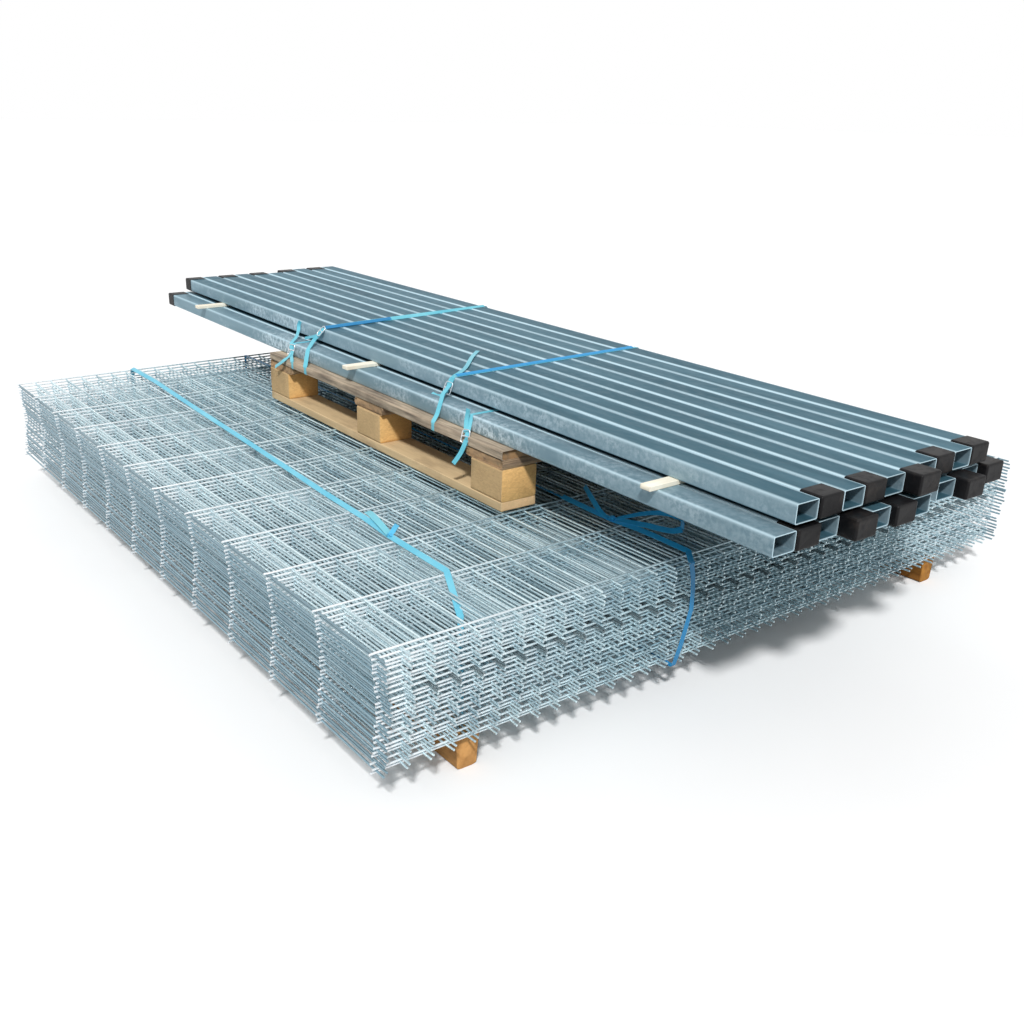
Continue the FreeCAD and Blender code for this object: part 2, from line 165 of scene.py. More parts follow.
# %% [markdown]
# ## Shapes carried along a path
#
# A wire, a post and a board are all the same idea: an outline repeated at stations along a
# line, with quads between one station and the next. `loft` makes the quads for a grid of
# stations by outline points, and closes the two ends or, for a tube with a wall, joins the
# last station to the first.

# %% Loft and tubes
TUBE_SIDES = 8


def loft(stations, ring=False):
    """Polygons for stations[s, p]: quads (s, p), (s+1, p), (s+1, p+1), (s, p+1)."""
    rows, columns = stations.shape[:2]
    s = np.arange(rows if ring else rows - 1)[:, None]
    p = np.arange(columns)[None, :]
    after = (s + 1) % rows
    beside = (p + 1) % columns
    quads = np.stack([
        s * columns + p, after * columns + p, after * columns + beside, s * columns + beside,
    ], axis=-1).reshape(-1, 4)
    if ring:
        return [quads]
    first = np.arange(columns)
    return [quads, np.stack([first, ((rows - 1) * columns + first)[::-1]])]


def tubes(paths, radius, sides=TUBE_SIDES):
    """Round bars along paths[w, p]: path + radius * (cos t * side + sin t * rise)."""
    paths = np.asarray(paths, float)
    along = np.gradient(paths, axis=1)
    along /= np.linalg.norm(along, axis=2, keepdims=True)
    side = np.cross(along, UP)
    side /= np.linalg.norm(side, axis=2, keepdims=True)
    rise = np.cross(side, along)
    turn = 2 * np.pi * (np.arange(sides) + 0.5) / sides
    spoke = np.cos(turn)[:, None] * side[:, :, None] + np.sin(turn)[:, None] * rise[:, :, None]
    points = paths[:, :, None] + radius * spoke
    shift = (np.arange(len(paths)) * paths.shape[1] * sides)[:, None, None]
    polygons = [(block + shift).reshape(-1, block.shape[1]) for block in loft(points[0])]
    return points.reshape(-1, 3), polygons


# %% [markdown]
# ## Materials as sums
#
# A node tree is easier to read as arithmetic. `Signal` wraps one output socket, and adding
# or multiplying signals adds the matching Math nodes. `Finish` holds one material, or the
# world, and makes any other node from its type, its settings and what goes into its sockets.

# %% Signals and finishes
class Signal:
    def __init__(self, finish, socket):
        self.finish = finish
        self.socket = socket

    def maths(self, operation, other):
        return self.finish.node("ShaderNodeMath", {"operation": operation}, {0: self, 1: other})

    def __add__(self, other):
        return self.maths("ADD", other)

    def __sub__(self, other):
        return self.maths("SUBTRACT", other)

    def __rsub__(self, other):
        return self.finish.node("ShaderNodeMath", {"operation": "SUBTRACT"}, {0: other, 1: self})

    def __mul__(self, other):
        return self.maths("MULTIPLY", other)

    __radd__ = __add__
    __rmul__ = __mul__


class Finish:
    def __init__(self, name, kind="materials"):
        self.owner = getattr(bpy.data, kind).new(name)
        self.owner.use_nodes = True
        self.tree = self.owner.node_tree
        self.tree.nodes.clear()
        self.place = self.node("ShaderNodeTexCoord", output="Object")

    def node(self, kind, settings=None, inputs=None, output=0):
        node = self.tree.nodes.new(kind)
        for key, value in (settings or {}).items():
            setattr(node, key, value)
        for key, value in (inputs or {}).items():
            if isinstance(value, Signal):
                self.tree.links.new(value.socket, node.inputs[key])
            else:
                node.inputs[key].default_value = value
        return Signal(self, node.outputs[output]) if len(node.outputs) else None

    def stretched(self, scale):
        """Object coordinates multiplied along each axis, so that a pattern runs in lines."""
        return self.node("ShaderNodeMapping", None, {"Vector": self.place, "Scale": scale})

    def spread(self, raw, low, high):
        """A signal spread so that low comes out as 0 and high as 1, and held between them."""
        ends = {"Value": raw, "From Min": low, "From Max": high}
        return self.node("ShaderNodeMapRange", {"clamp": True}, ends)

    def noise(self, scale, detail=4.0, roughness=0.55, stretch=None, low=0.35, high=0.65):
        """Noise whose middle range, from low to high, is spread over 0 to 1."""
        vector = self.stretched(stretch) if stretch else self.place
        raw = self.node("ShaderNodeTexNoise", {"noise_dimensions": "3D"}, {
            "Vector": vector, "Scale": scale, "Detail": detail, "Roughness": roughness,
        })
        return self.spread(raw, low, high)

    def value(self, label):
        """A number stored on the points of the piece."""
        return self.node("ShaderNodeAttribute", {"attribute_name": label}, output="Fac")

    def mix(self, share, first, second):
        """From the first colour to the second, in the colour sockets of a Mix node."""
        settings = {"data_type": "RGBA", "clamp_factor": True}
        first, second = (c if isinstance(c, Signal) else (*c, 1.0) for c in (first, second))
        return self.node("ShaderNodeMix", settings, {0: share, 6: first, 7: second}, output=2)

    def seen(self):
        """One for the camera's own rays and for its rays by way of shine or glass, else zero."""
        rays = [self.node("ShaderNodeLightPath", output=f"Is {kind} Ray")
                for kind in ("Camera", "Glossy", "Transmission")]
        return rays[0].maths("MAXIMUM", rays[1]).maths("MAXIMUM", rays[2])

    def finish(self, colour, roughness, height=None, depth=0.0005, strength=0.4, **constants):
        """The shader: colour and roughness may vary, everything in constants is one number."""
        inputs = {"Base Color": colour, "Roughness": roughness}
        inputs.update({key.replace("_", " "): value for key, value in constants.items()})
        if height is not None:
            bump = {"Height": height, "Distance": depth, "Strength": strength}
            inputs["Normal"] = self.node("ShaderNodeBump", None, bump)
        shader = self.node("ShaderNodeBsdfPrincipled", None, inputs)
        self.node("ShaderNodeOutputMaterial", None, {"Surface": shader})
        return self.owner


# %% [markdown]
# ## Galvanised wire
#
# The wires were dipped in zinc: a pale blue-grey skin, dull, with small lighter runs. Two
# sizes of noise and a `tone` of each wire's own mix a lighter and a darker grey. The crosswire
# ends carry a painted highlight. Where two bundles lie on each other the wires carry painted
# shade, for the deep shade of the seam, and the outermost wires are a little darker.

# %% Wire finish
wire = Finish("galvanised_wire")
wire_patches = wire.noise(9.0, 3.0)
wire_runs = wire.noise(140.0, 2.0)
wire_share = wire_patches * 0.22 + wire_runs * 0.2 + wire.value("tone") * 0.58
wire_tone = wire.mix(wire_share, (0.28, 0.42, 0.49), (0.82, 0.97, 1.0))
# Painted highlight: the ends of the crosswires are mixed towards near white.
wire_with_end_glint = wire.mix(wire.value("cut"), wire_tone, (0.93, 0.96, 0.98))
# Painted shade in the darkest seam, near black, and a little darkening of the outermost wires.
wire_with_seam_shade = wire.mix(wire.value("stain") * 0.85, wire_with_end_glint, (0.06, 0.08, 0.09))
wire_finish = wire.finish(wire_with_seam_shade, wire_runs * 0.16 + 0.26, Metallic=0.55)

# %% [markdown]
# ## The mesh panels
#
# Each panel has 41 line wires, welded under or over 12 crosswires. The panels come in four
# bundles, and every other bundle is turned over, which leaves dark seams in the front of
# the stack. The line wires of the darkest seam carry painted shade, near black: all of it
# behind the front crosswire, less on the prongs. The same value darkens each panel's outermost
# wires a little.
# Real wires are not quite straight, so each path has a few points, all moved a little: the
# numbers called STRAY say how far. The line wires also slide by a few millimetres, in a
# slow wave up the stack. The crosswires stand out past the last line wire.

# %% Panels
WIRE_RADIUS = 2.3 * MM
MESH_WIDTH, MESH_LENGTH = 49.7 * MM, 200 * MM
LINE_WIRES, CROSSWIRES = 41, 12
PRONG = 30 * MM
BUNDLES = ((3, True), (5, False), (8, True), (10, False))
SLIDE, SLIDE_WAVE, SLIDE_STRAY = 2.7 * MM, 0.55, 0.8 * MM
LINE_STRAY, CROSS_STRAY, PRONG_STRAY = 0.7 * MM, 0.8 * MM, 2.0 * MM
# The panels with painted shade in their seam, its share on the prongs, and the most darkening of
# the outermost wires.
SEAM_SHADED_PANELS, PRONG_SEAM_SHADE, EDGE_DARKENING = (16, 17), 0.85, 0.35
LINE_TONES, CROSS_TONES = (0.1, 1.1), (-0.2, 0.7)
EDGE_TONE_SHARE, EDGE_TONE_DROP = 0.3, 0.6
LINE_SHARES = np.array([0.0, 0.3, 0.62, 0.9, 0.975, 0.985, 1.0])
CROSS_SHARES = np.array([0.0, 0.006, 0.3, 0.7, 0.994, 1.0])


def panel_paths(low, high, turned, slide):
    """Line wires and crosswires of a panel, as paths between the two corners of its box."""
    middle = (low[1] + high[1]) / 2 + slide + chance.uniform(-SLIDE_STRAY, SLIDE_STRAY)
    places = middle + (np.arange(LINE_WIRES) - (LINE_WIRES - 1) / 2) * MESH_WIDTH
    line = np.zeros((LINE_WIRES, len(LINE_SHARES), 3))
    line[:, :, 0] = low[0] + LINE_SHARES * (high[0] - low[0])
    line[:, :, 1] = places[:, None] + chance.normal(0, LINE_STRAY, line.shape[:2])
    line[:, -1, 0] -= chance.uniform(0, PRONG_STRAY, LINE_WIRES)
    rows = high[0] - PRONG - np.arange(CROSSWIRES) * MESH_LENGTH
    cross = np.zeros((CROSSWIRES, len(CROSS_SHARES), 3))
    cross[:, :, 0] = rows[:, None] + chance.normal(0, CROSS_STRAY, cross.shape[:2])
    cross[:, :, 1] = low[1] + CROSS_SHARES * (high[1] - low[1])
    bottom, top = low[2] + WIRE_RADIUS, high[2] - WIRE_RADIUS
    line[:, :, 2] = top if turned else bottom
    cross[:, :, 2] = bottom if turned else top
    return line, cross


turned_over = [turned for count, turned in BUNDLES for _ in range(count)]
for number, turned in enumerate(turned_over, start=1):
    node = f"mesh_panel_{number:02d}"
    line, cross = panel_paths(*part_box(node), turned, SLIDE * np.sin(SLIDE_WAVE * number))
    bars = [tubes(line, WIRE_RADIUS), tubes(cross, WIRE_RADIUS)]
    # Painted shade on the seam's line wires, less on the prongs; outermost wires darker at random.
    stain = np.zeros((*line.shape[:2], TUBE_SIDES))
    if number in SEAM_SHADED_PANELS:
        stain[2:-2] = 1
        stain[2:-2, -2:] = PRONG_SEAM_SHADE
    stain[[0, -1]] = chance.uniform(0, EDGE_DARKENING)
    # Painted highlight on the last two stations at each end of every crosswire.
    cut = np.zeros((*cross.shape[:2], TUBE_SIDES))
    cut[:, [0, 1, -2, -1]] = 1
    line_tone = chance.uniform(*LINE_TONES, (LINE_WIRES, 1, 1)) + np.zeros(stain.shape)
    line_tone[[0, -1]] *= EDGE_TONE_SHARE
    line_tone[[0, -1]] -= EDGE_TONE_DROP
    cross_tone = chance.uniform(*CROSS_TONES, (CROSSWIRES, 1, 1)) + np.zeros(cut.shape)
    values = {
        "cut": np.concatenate([np.zeros(stain.size), cut.ravel()]),
        "stain": np.concatenate([stain.ravel(), np.zeros(cut.size)]),
        "tone": np.concatenate([line_tone.ravel(), cross_tone.ravel()]),
    }
    piece = surface(f"panel_wires_{number:02d}", *join(bars), values)
    dress(piece, wire_finish, [node], smooth=50)
print(len(turned_over), "panels,", len(piece.data.polygons), "faces each")

# %% [markdown]
# ## Posts
#
# A post is a 60 by 40 mm box section with rolled corners, open at one end. Its finish is
# darker and smoother than the wire's. The narrow sides are painted lighter than the top, as
# painted light, with a pale bloom that fades towards the right end. The corners carry a
# painted highlight, one of them more than the rest, and since every other post lies the other
# way round, the highlighted corners of two neighbours meet; the rims of the open ends carry one
# too. So the points of the outline carry two values: the painted highlight on the corners, and
# the painted light on the narrow sides. The lower layer's near post is painted pale on top as well,
# as painted light.

# %% Post finish
post = Finish("galvanised_post")
post_streaks = post.noise(16.0, 4.0, stretch=(0.12, 1.0, 1.0))
post_spangle = post.noise(60.0, 3.0, stretch=(0.5, 1.0, 1.0), low=0.3, high=0.7)
post_bloom = post.noise(5.0, 5.0, 0.65, stretch=(0.5, 1.0, 1.0), low=0.43, high=0.62)
post_mottle = post.noise(95.0, 4.0, 0.65, low=0.4, high=0.6)
post_along = post.node("ShaderNodeSeparateXYZ", None, {"Vector": post.place}, output="X")
post_left = post.spread(post_along, 1.35, 0.75)
post_share = post_streaks * 0.5 + post_spangle * 0.2 + post.value("tone") * 0.4
# Painted light: the narrow sides get a lighter colour than the top of the same post.
post_top = post.mix(post_share, (0.009, 0.052, 0.078), (0.07, 0.155, 0.2))
post_flank = post.mix(post_share, (0.165, 0.26, 0.31), (0.31, 0.43, 0.49))
post_frost = post_bloom * post_mottle * (post_left * 0.65 + 0.25)
post_cloudy = post.mix(post_frost, post_flank, (0.7, 0.82, 0.88))
post_tone = post.mix(post.value("flank"), post_top, post_cloudy)
# Painted highlight: corners, rims and the wall just inside the open ends, mixed towards pale cyan.
post_bright = post.mix(post.value("rolled"), post_tone, (0.68, 0.88, 0.97))
post_finish = post.finish(
    post_bright, post_spangle * 0.16 + 0.32, post_spangle, depth=0.0002, strength=0.15,
    Metallic=0.3, Specular_IOR_Level=0.12, Specular_Tint=(0.5, 0.8, 0.95, 1.0),
)

# %% Post shapes
POST_WIDTH, POST_HEIGHT, POST_WALL, POST_CORNER = 60 * MM, 40 * MM, 2 * MM, 4 * MM
POST_LENGTH, POST_LIP, POST_STATIONS = 2885 * MM, 0.4 * MM, 6
POST_OVERHANG = 322
# Painted highlights on the rim and just inside the open end; the inner narrow sides get less of the
# painted light.
LIP_SHINE, INNER_SHINE, SHALLOW, INNER_FLANK = 0.9, 0.7, 3 * MM, 0.8
PALLET_CORNER = (-413, 595)
# The top of the lower layer's near post is painted pale, as painted light.
LOWER = {
    "slips": (0, 0, -4, 30, 18, 28, 21, -40, -4, 20, -30, -13),
    "near": PALLET_CORNER[1] + 19, "pitch": 63.5, "skew": 1.06, "bottom": 144, "painted_light_top": 0.75,
    "strap_top": 184.4,
}
UPPER = {
    "slips": (0, 0, 3, 0, 0, 30, -16, -20, -18, -22),
    "near": PALLET_CORNER[1] + 71, "pitch": 65.1, "skew": 1.45, "bottom": 194, "painted_light_top": 0,
    "strap_top": 234.4,
}
ARC_STEPS = 5
FLAT_MARGIN = 4 * MM
# Painted highlight on each of the four corners; the posts take the two patterns in turn.
CORNER_SHINE = ((1.0, 0.55, 0.35, 0.35), (0.45, 0.8, 0.35, 0.35))


def rounded_outline(width, height, radius, margin=FLAT_MARGIN):
    """An outline with quarter-circle corners: its points, and two values for each.

    Corner k is centred a radius inside the rectangle, with points at
    centre + radius * (cos t, sin t), t from 90k to 90k + 90 degrees. One more point on
    each side of the arc, a margin along the flat, keeps the flat's shading flat. The first
    value is one on the arc, the second on the narrow sides.
    """
    points, rolled, flank = [], [], []
    turn = np.linspace(0, np.pi / 2, ARC_STEPS)
    arc = np.stack([np.cos(turn), np.sin(turn)], axis=-1)
    for k, signs in enumerate(((1, 1), (-1, 1), (-1, -1), (1, -1))):
        c, s = np.cos(k * np.pi / 2), np.sin(k * np.pi / 2)
        spin = np.array([[c, -s], [s, c]]).round(9)
        local = np.concatenate([[[radius, -margin]], arc * radius, [[-margin, radius]]]) @ spin.T
        points.append(local + (np.array([width, height]) / 2 - radius) * signs)
        rolled.append(np.concatenate([[0], 0.5 + 0.5 * np.sin(2 * turn), [0]]))
        ease = np.linspace(1, 0, ARC_STEPS + 2)
        flank.append(ease if k % 2 == 0 else ease[::-1])
    return np.concatenate(points), np.concatenate(rolled), np.concatenate(flank)


def layer_frame(layer, index):
    """Origin at the right end of a post's axis, with X along it, Y across and Z up."""
    along, across = ways(layer["skew"])
    corner = spot((POST_OVERHANG, layer["near"] + index * layer["pitch"], layer["bottom"]))
    start = corner + along * layer["slips"][index] * MM
    return start + across * POST_WIDTH / 2 + UP * POST_HEIGHT / 2, along, across


def stations_at(centre, along, across, places, outlines):
    """An outline at each place along an axis: centre + place * along + y * across + z * up."""
    places = np.array(places)[:, None, None]
    return centre + places * along + outlines[..., :1] * across + outlines[..., 1:] * UP


def post_part(frame_of_post, shine, pale):
    """A post: outer skin, then inner skin back, so that the wall is closed at both ends."""
    def skin(places, inset):
        outline = rounded_outline(
            POST_WIDTH - 2 * inset, POST_HEIGHT - 2 * inset, POST_CORNER - inset,
        )[0]
        return stations_at(*frame_of_post, places, outline)

    _, rolled, flank = rounded_outline(POST_WIDTH, POST_HEIGHT, POST_CORNER)
    run = np.linspace(-POST_LENGTH + POST_LIP, -POST_LIP, POST_STATIONS)
    grid = np.concatenate([
        skin(run, 0), skin([0], POST_LIP),
        skin([0, -SHALLOW, -POST_LENGTH + SHALLOW, -POST_LENGTH], POST_WALL),
        skin([-POST_LENGTH], POST_LIP),
    ])
    # Painted highlight on the corners, the rim and the inner lip.
    bright = np.zeros(grid.shape[:2])
    bright[:len(run)] = rolled * np.repeat(shine, ARC_STEPS + 2)
    bright[[len(run), -1]] = LIP_SHINE
    bright[len(run) + 1] = INNER_SHINE
    # Painted light on the narrow sides, and on a top where asked; weaker inside the tube.
    sides = np.maximum(flank, pale) * np.ones(bright.shape)
    sides[len(run) + 1:-1] *= INNER_FLANK
    return grid.reshape(-1, 3), loft(grid, ring=True), bright.ravel(), sides.ravel()


def post_layer(name, layer, nodes):
    """All posts of a layer. Only the first can have its top painted pale, as painted light."""
    parts = [post_part(layer_frame(layer, index), CORNER_SHINE[index % 2],
                       0 if index else layer["painted_light_top"])
             for index in range(len(layer["slips"]))]
    values = {
        "rolled": gathered(parts, 2),
        "flank": gathered(parts, 3),
        "tone": np.repeat(chance.uniform(0, 1, len(parts)), [len(part[0]) for part in parts]),
    }
    piece = surface(name, *join(parts), values)
    dress(piece, post_finish, nodes, smooth=40)


post_layer("posts_lower_layer", LOWER, ["lower_posts"])
post_layer("posts_upper_layer", UPPER, ["upper_posts"])
print("posts:", len(LOWER["slips"]), "below and", len(UPPER["slips"]), "above")

# %% [markdown]
# ## Post caps
#
# Each post has one dusty black cap over an end, and they lie at alternate ends. Its crown
# is a set of outlines that shrink as they go out, which rounds the edge over.

# %% Cap finish and shapes
cap = Finish("cap_plastic")
cap_scuffs = cap.noise(70.0, 4.0, low=0.5, high=0.75)
cap_cloud = cap.noise(12.0, 3.0)
cap_clean = cap.mix(cap_cloud * 0.5 + cap_scuffs * 0.4,
                    (0.0022, 0.0024, 0.003), (0.01, 0.0092, 0.0105))
cap_dust = cap.noise(16.0, 5.0, 0.7, low=0.54, high=0.72)
cap_tone = cap.mix(cap_dust * 0.3, cap_clean, (0.072, 0.058, 0.048))
cap_finish = cap.finish(
    cap_tone, cap_scuffs * 0.15 + 0.45, cap_scuffs, depth=0.0003, Specular_IOR_Level=0.18,
)

CAP_CROWN, CAP_SKIRT, CAP_WALL, CAP_ROUND = 5 * MM, 46 * MM, 1.6 * MM, 4.5 * MM


def cap_part(end, along, across):
    """A sleeve over the post's end, with a rounded crown. `along` points out of the post."""
    width, height = POST_WIDTH + 2 * CAP_WALL, POST_HEIGHT + 2 * CAP_WALL
    turn = np.radians([0, 22, 45, 68, 90])
    places = [-CAP_SKIRT + 4 * MM, -CAP_SKIRT, -CAP_SKIRT, -CAP_SKIRT + 0.6 * MM, -10 * MM]
    insets = [CAP_WALL, CAP_WALL, 0.5 * MM, 0, 0]
    places += list(CAP_CROWN - CAP_ROUND + CAP_ROUND * np.sin(turn))
    insets += list(CAP_ROUND * (1 - np.cos(turn)))
    places.append(CAP_CROWN - 0.3 * MM)
    insets.append(CAP_ROUND + 3 * MM)
    outlines = [
        rounded_outline(width - 2 * i, height - 2 * i, max(CAP_ROUND - i, 0.8 * MM), 0.3 * MM)[0]
        for i in insets
    ]
    grid = stations_at(end, along, across, places, np.stack(outlines))
    return grid.reshape(-1, 3), loft(grid)


def cap_layer(name, layer, nodes):
    parts = []
    for index in range(len(layer["slips"])):
        centre, along, across = layer_frame(layer, index)
        if index % 2:
            parts.append(cap_part(centre, along, across))
        else:
            parts.append(cap_part(centre - along * POST_LENGTH, -along, -across))
    dress(surface(name, *join(parts)), cap_finish, nodes, smooth=35)


cap_layer("caps_lower_layer", LOWER, ["lower_post_caps"])
cap_layer("caps_upper_layer", UPPER, ["upper_post_caps"])

# %% [markdown]
# ## Sawn timber
#
# Boards, blocks, bearers and laths are planks: a rounded outline at stations along the
# grain. Low noise moves the outline so that edges wander by a millimetre, and the ends are
# a little ragged. `wander` is a sum of three sine waves with random phases.

# %% Planks
PLANK_MARGIN, PLANK_STEP, SOFT_END = 1.5 * MM, 45, 1.2 * MM


def wander(places, lanes, size, reach):
    """size * sum of sin(2 pi place / wavelength + phase) / 3, one row for each lane."""
    waves = np.array([1.0, 0.43, 0.17]) * reach
    phase = chance.uniform(0, 2 * np.pi, (3, lanes, 1))
    swing = np.sin(2 * np.pi * places / waves[:, None, None] + phase)
    return size * swing.sum(axis=0) / 3


def plank(corner, length, width, thick, skew=0.0, radius=2.0, rough=0.8, ragged=0.6, wane=0):
    """A board whose right near bottom corner is at `corner`, running back along the pack.

    Sizes are in millimetres. Each section is the rounded outline moved by up to `rough`.
    The end ones are also moved by up to `ragged` along the grain, and drawn in a little.
    `wane` is the radius of the lower corners, if larger. The third thing it returns is the
    value `end`, which is one on the two ends only.
    """
    along, across = ways(skew)
    outline = rounded_outline(width * MM, thick * MM, radius * MM, PLANK_MARGIN)[0]
    if wane:
        outline = waned(outline, thick * MM, wane * MM)
    run = np.linspace(0, length * MM, max(5, int(length / PLANK_STEP) + 2))
    places = -np.concatenate([[0, SOFT_END], run[1:-1], [length * MM - SOFT_END, length * MM]])
    centre = spot(corner) + across * width * MM / 2 + UP * thick * MM / 2
    grid = stations_at(centre, along, across, places, outline)
    columns = grid.shape[1]
    shift_across = wander(places, columns, rough * MM, 0.9).T
    shift_up = wander(places, columns, rough * 0.5 * MM, 0.7).T
    grid = grid + shift_across[:, :, None] * across * np.sign(outline[:, 0])[:, None] * 0.5
    grid[:, :, 2] -= np.abs(shift_up) * np.sign(outline[:, 1]) * 0.6
    ends = chance.uniform(0, ragged * MM, (2, columns))
    grid[0] -= ends[0][:, None] * along
    grid[-1] += ends[1][:, None] * along
    middle = grid.mean(axis=1, keepdims=True)
    grid[[0, -1]] += (middle - grid)[[0, -1]] * (2 / min(width, thick))
    end = np.zeros(grid.shape[:2])
    end[[0, -1]] = 1
    return grid.reshape(-1, 3), loft(grid), end.ravel()


def waned(outline, thick, radius):
    """The outline with its two lower corners drawn in to a larger radius."""
    outline = outline.copy()
    low = outline[:, 1] < 0
    depth = np.clip((-(thick / 2 - radius) - outline[:, 1]) / radius, 0, 1)
    pull = radius * (1 - np.sqrt(1 - depth ** 2))
    outline[low, 0] -= (np.sign(outline[:, 0]) * pull)[low] * 0.75
    return outline


# %% Timber finish
def timber(name, pale, dark, knot, sawn, grain_axis, rings=26.0, rough=0.78, contrast=0.55):
    """Sawn softwood: noise stretched along the grain, stains, and ends of another colour."""
    wood = Finish(name)
    stretch = [1.0, 1.0, 1.0]
    stretch[grain_axis] = 0.07
    rings_part = wood.noise(rings, 5.0, 0.6, stretch, 0.3, 0.7)
    stretch[grain_axis] = 0.03
    fibres = wood.noise(240.0, 3.0, 0.6, stretch, 0.3, 0.7)
    stretch[grain_axis] = 0.35
    stains = wood.noise(13.0, 5.0, 0.65, stretch, 0.46, 0.72)
    grain = wood.mix(rings_part * contrast + fibres * (0.9 - contrast) * 0.6, pale, dark)
    tone = wood.mix(stains * 0.75, grain, knot)
    cut_face = wood.mix(wood.noise(60.0, 3.0, low=0.45, high=0.7) * 0.7, sawn, dark)
    tone = wood.mix(wood.value("end") * 0.85, tone, cut_face)
    return wood.finish(tone, fibres * 0.12 + rough, fibres * 0.6 + rings_part * 0.4,
                       depth=0.0009, strength=0.5)


ALONG, ACROSS = 0, 1
deck_wood = timber("weathered_board", (0.62, 0.5, 0.36), (0.11, 0.08, 0.062),
                   (0.05, 0.036, 0.032), (0.5, 0.28, 0.12), ALONG, 110.0, contrast=0.8)
runner_wood = timber("runner_board", (0.72, 0.54, 0.31), (0.52, 0.37, 0.2),
                     (0.28, 0.19, 0.11), (0.7, 0.46, 0.24), ALONG)
cross_wood = timber("cross_board", (0.56, 0.38, 0.22), (0.1, 0.068, 0.05),
                    (0.04, 0.03, 0.026), (0.46, 0.29, 0.15), ACROSS, 90.0, contrast=0.8)
bearer_wood = timber("bearer", (0.7, 0.36, 0.115), (0.42, 0.19, 0.05),
                     (0.14, 0.06, 0.02), (0.72, 0.37, 0.12), ALONG, 60.0)
# Painted shade: the far bearer is a darker copy of the bearer's colours, for the shade it lies in.
shaded_far_bearer_wood = timber("bearer_painted_shade", (0.48, 0.2, 0.03), (0.25, 0.09, 0.012),
                         (0.1, 0.035, 0.008), (0.56, 0.25, 0.04), ALONG, 60.0)
lath_wood = timber("lath", (0.97, 0.93, 0.8), (0.9, 0.82, 0.66),
                   (0.74, 0.62, 0.44), (0.93, 0.87, 0.71), ACROSS, 40.0, 0.6)

# %% [markdown]
# ## Pressed blocks
#
# The pallet's blocks are pressed from chips, not sawn: an even golden tan with small
# flecks, lighter and darker. Cells of a Voronoi pattern give each chip its own tone. The
# sawn ends are a lighter, warmer gold than the pressed sides: partly the cut chips' own
# colour, partly painted light for the sun on the lit end.

# %% Block finish
chips = Finish("pressed_block")
flecks = chips.node("ShaderNodeTexVoronoi", {"feature": "F1"}, {
    "Vector": chips.stretched((1.0, 1.0, 2.2)), "Scale": 150.0,
}, output="Color")
fleck_tone = chips.node("ShaderNodeSeparateColor", None, {"Color": flecks})
chip_cloud = chips.noise(14.0, 4.0)
chip_share = fleck_tone * 0.5 + chip_cloud * 0.35
# End faces: partly the cut chips' own colour, partly painted light for the sun on the lit end.
block_tone = chips.mix(
    chips.value("end"), chips.mix(chip_share, (0.6, 0.41, 0.205), (0.44, 0.295, 0.145)),
    chips.mix(chip_share, (0.84, 0.52, 0.2), (0.6, 0.34, 0.12)),
)
block_finish = chips.finish(
    chips.mix(chips.noise(240.0, 2.0, low=0.66, high=0.84), block_tone, (0.3, 0.19, 0.08)),
    0.85, fleck_tone, depth=0.0006, strength=0.35,
)

# %% [markdown]
# ## Pallet, bearers and laths
#
# The pallet is built up from its runners: blocks, cross boards and deck boards. The ends
# of the near deck board are broken.

# %% Pallet
PALLET_LENGTH, PALLET_WIDTH, PALLET_SKEW = 1200, 800, 0.9
BOARD, BLOCK_HEIGHT, WIDE, NARROW = 22, 78, 145, 100
PRESSED_LENGTH = 122
ROWS = [(0, NARROW), ((PALLET_WIDTH - WIDE) / 2, WIDE), (PALLET_WIDTH - NARROW, NARROW)]
WORN, BROKEN = 8, 24


def three_backs(length):
    """How far back three things of this length start: at both ends and in the middle."""
    return [share * (PALLET_LENGTH - length) for share in (0, 0.5, 1)]


def on_pallet(back, across, bottom):
    """A point by its distance back from the pallet's right end, and across it."""
    along, sideways = ways(PALLET_SKEW)
    return (*PALLET_CORNER, bottom) - back * along + across * sideways


def across_plank(corner, length, width, thick, skew=0.0, **looks):
    """A plank whose grain runs across the pack: the same plank, turned a quarter."""
    points, polygons, end = plank((0, 0, 0), length, width, thick, **looks)
    local = points - MESH_ORIGIN
    along, across = ways(skew)
    moved = spot(corner) - local[:, :1] * across - local[:, 1:2] * along + local[:, 2:] * UP
    return moved, polygons, end


skewed = {"skew": PALLET_SKEW}
runners = [plank(on_pallet(0, row, 0), PALLET_LENGTH, width, BOARD, **skewed)
           for row, width in ROWS]
joined("pallet_runners", runners, "end", runner_wood, "pallet_runner_boards")

blocks = [plank(on_pallet(back, row, BOARD), PRESSED_LENGTH, width, BLOCK_HEIGHT,
                radius=5.0, rough=0.5, ragged=0.3, **skewed)
          for row, width in ROWS for back in three_backs(PRESSED_LENGTH)]
joined("pallet_pressed_blocks", blocks, "end", block_finish, "pallet_blocks")

crosses = [across_plank(on_pallet(back, 0, BOARD + BLOCK_HEIGHT), PALLET_WIDTH, WIDE, BOARD,
                        radius=5.0, rough=4.5, ragged=WORN, **skewed)
           for back in three_backs(WIDE)]
joined("pallet_crossers", crosses, "end", cross_wood, "pallet_cross_boards")

deck_widths = (WIDE, NARROW, WIDE, NARROW, WIDE)
deck_gap = (PALLET_WIDTH - sum(deck_widths)) / 4
deck, near = [], 0
for width in deck_widths:
    deck.append(plank(on_pallet(0, near, 2 * BOARD + BLOCK_HEIGHT), PALLET_LENGTH, width, BOARD,
                      radius=3.0, rough=2.0, ragged=WORN if deck else BROKEN, **skewed))
    near += width + deck_gap
joined("pallet_deck", deck, "end", deck_wood, "pallet_deck_boards")
print("pallet boards and blocks:", *(len(row) for row in (runners, blocks, crosses, deck)))

